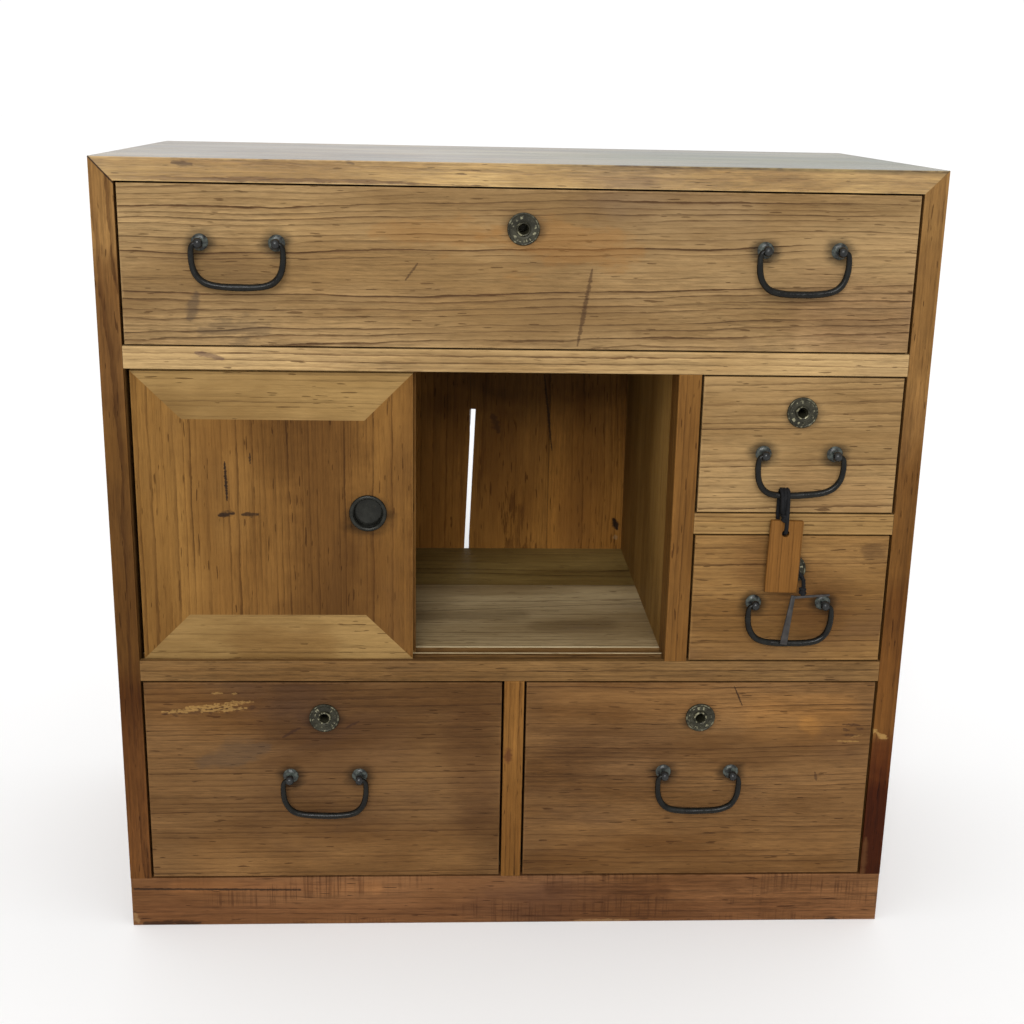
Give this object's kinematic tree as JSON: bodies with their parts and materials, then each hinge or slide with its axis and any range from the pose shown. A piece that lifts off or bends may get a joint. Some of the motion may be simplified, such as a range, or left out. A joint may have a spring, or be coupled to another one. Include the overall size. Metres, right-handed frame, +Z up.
{
  "type": "tansu chest",
  "caption": "Small free-standing chest of weathered softwood with drawers, sliding doors over a cupboard, swinging iron bail handles, round lock plates and a hanging key with a tag",
  "frame": {"origin": "on the floor, under the middle of the chest's box, handles counted and the hanging key set left out", "axes": "+X to the right of someone who faces the drawers, +Y to the back, +Z up"},
  "size_m": [0.68, 0.3559, 0.677],
  "materials": {
    "case_wood": "worn oil, darkened by handling",
    "rail_wood": "worn oil, straight grain",
    "base_wood": "dark reddish, saw marks",
    "inner_wood": "bare, greyed",
    "back_wood": "bare, orange brown",
    "door_wood": "worn oil",
    "front_wood": "worn oil, raised grain",
    "drawer_wood": "bare, pale",
    "tag_wood": "bare, reddish",
    "iron": "forged, blackened, worn",
    "post_iron": "forged, greenish grey",
    "lock_bronze": "darkened, chased",
    "bolt_steel": "dull",
    "cord_black": "matt twisted cotton"
  },
  "bodies": {
    "case": {"top_board": "case_wood", "left_side": "case_wood", "right_side": "case_wood", "base_frame": "base_wood", "bottom_board": "base_wood", "upper_rail": "rail_wood", "lower_rail": "rail_wood", "small_rail": "rail_wood", "divider_post": "case_wood", "lower_post": "case_wood", "lower_shelf": "inner_wood", "dust_boards": "inner_wood", "partitions": "inner_wood", "back_boards": "back_wood"},
    "front_door": {"front_door_panel": "door_wood", "front_door_clamps": "door_wood", "front_door_pull": "iron"},
    "rear_door": {"rear_door_panel": "door_wood", "rear_door_clamps": "door_wood", "rear_door_pull": "iron"},
    "top_drawer": {"top_drawer_front": "front_wood", "top_drawer_walls": "drawer_wood", "top_drawer_bottom": "drawer_wood", "top_drawer_posts": "post_iron", "top_drawer_lock": "lock_bronze"},
    "top_drawer_bolt_slider": {"top_drawer_bolt": "bolt_steel"},
    "top_left_handle": {"top_left_bail": "iron"},
    "top_right_handle": {"top_right_bail": "iron"},
    "upper_small_drawer": {"upper_small_front": "front_wood", "upper_small_walls": "drawer_wood", "upper_small_bottom": "drawer_wood", "upper_small_posts": "post_iron", "upper_small_lock": "lock_bronze"},
    "upper_small_bolt_slider": {"upper_small_bolt": "bolt_steel"},
    "upper_small_handle": {"upper_small_bail": "iron"},
    "lower_small_drawer": {"lower_small_front": "front_wood", "lower_small_walls": "drawer_wood", "lower_small_bottom": "drawer_wood", "lower_small_posts": "post_iron", "lower_small_lock": "lock_bronze"},
    "lower_small_bolt_slider": {"lower_small_bolt": "bolt_steel"},
    "lower_small_handle": {"lower_small_bail": "iron"},
    "bottom_left_drawer": {"bottom_left_front": "front_wood", "bottom_left_walls": "drawer_wood", "bottom_left_bottom": "drawer_wood", "bottom_left_posts": "post_iron", "bottom_left_lock": "lock_bronze"},
    "bottom_left_bolt_slider": {"bottom_left_bolt": "bolt_steel"},
    "bottom_left_handle": {"bottom_left_bail": "iron"},
    "bottom_right_drawer": {"bottom_right_front": "front_wood", "bottom_right_walls": "drawer_wood", "bottom_right_bottom": "drawer_wood", "bottom_right_posts": "post_iron", "bottom_right_lock": "lock_bronze"},
    "bottom_right_bolt_slider": {"bottom_right_bolt": "bolt_steel"},
    "bottom_right_handle": {"bottom_right_bail": "iron"},
    "key_set": {"key": "iron", "key_tag": "tag_wood", "key_cord": "cord_black"}
  },
  "joints": [
    {"name": "front_door_slide", "type": "slide", "parent": "case", "child": "front_door", "axis": [1, 0, 0], "range_m": [-0.0032, 0.2189]},
    {"name": "rear_door_slide", "type": "slide", "parent": "case", "child": "rear_door", "axis": [1, 0, 0], "range_m": [-0.0054, 0.2167]},
    {"name": "top_drawer_slide", "type": "slide", "parent": "case", "child": "top_drawer", "axis": [0, -1, 0], "range_m": [0, 0.24]},
    {"name": "top_drawer_bolt_throw", "type": "slide", "parent": "top_drawer", "child": "top_drawer_bolt_slider", "axis": [0, 0, 1], "range_m": [0, 0.007]},
    {"name": "top_left_handle_swing", "type": "hinge", "parent": "top_drawer", "child": "top_left_handle", "pos_m": [-0.226, -0.17205, 0.612], "axis": [-1, 0, 0], "range_deg": [-8, 180]},
    {"name": "top_right_handle_swing", "type": "hinge", "parent": "top_drawer", "child": "top_right_handle", "pos_m": [0.226, -0.17205, 0.612], "axis": [-1, 0, 0], "range_deg": [-8, 180]},
    {"name": "upper_small_drawer_slide", "type": "slide", "parent": "case", "child": "upper_small_drawer", "axis": [0, -1, 0], "range_m": [0, 0.24]},
    {"name": "upper_small_bolt_throw", "type": "slide", "parent": "upper_small_drawer", "child": "upper_small_bolt_slider", "axis": [0, 0, 1], "range_m": [0, 0.007]},
    {"name": "upper_small_handle_swing", "type": "hinge", "parent": "upper_small_drawer", "child": "upper_small_handle", "pos_m": [0.23575, -0.17205, 0.4435], "axis": [-1, 0, 0], "range_deg": [0, 180]},
    {"name": "lower_small_drawer_slide", "type": "slide", "parent": "case", "child": "lower_small_drawer", "axis": [0, -1, 0], "range_m": [0, 0.24], "deforming": ["key", "key_tag", "key_cord"]},
    {"name": "lower_small_bolt_throw", "type": "slide", "parent": "lower_small_drawer", "child": "lower_small_bolt_slider", "axis": [0, 0, 1], "range_m": [0, 0.007]},
    {"name": "lower_small_handle_swing", "type": "hinge", "parent": "lower_small_drawer", "child": "lower_small_handle", "pos_m": [0.23575, -0.17205, 0.3115], "axis": [-1, 0, 0], "range_deg": [-8, 160]},
    {"name": "bottom_left_drawer_slide", "type": "slide", "parent": "case", "child": "bottom_left_drawer", "axis": [0, -1, 0], "range_m": [0, 0.24]},
    {"name": "bottom_left_bolt_throw", "type": "slide", "parent": "bottom_left_drawer", "child": "bottom_left_bolt_slider", "axis": [0, 0, 1], "range_m": [0, 0.007]},
    {"name": "bottom_left_handle_swing", "type": "hinge", "parent": "bottom_left_drawer", "child": "bottom_left_handle", "pos_m": [-0.16487, -0.17205, 0.148], "axis": [-1, 0, 0], "range_deg": [-8, 180]},
    {"name": "bottom_right_drawer_slide", "type": "slide", "parent": "case", "child": "bottom_right_drawer", "axis": [0, -1, 0], "range_m": [0, 0.24]},
    {"name": "bottom_right_bolt_throw", "type": "slide", "parent": "bottom_right_drawer", "child": "bottom_right_bolt_slider", "axis": [0, 0, 1], "range_m": [0, 0.007]},
    {"name": "bottom_right_handle_swing", "type": "hinge", "parent": "bottom_right_drawer", "child": "bottom_right_handle", "pos_m": [0.16537, -0.17205, 0.151], "axis": [-1, 0, 0], "range_deg": [-8, 180]},
    {"name": "key_set_swing", "type": "hinge", "parent": "upper_small_handle", "child": "key_set", "pos_m": [0.23575, -0.17205, 0.4095], "axis": [-1, 0, 0], "range_deg": [-180, 0]}
  ],
  "couplings": [
    {"joint": "key_set_swing", "follows": "upper_small_handle_swing", "ratio": -1}
  ]
}
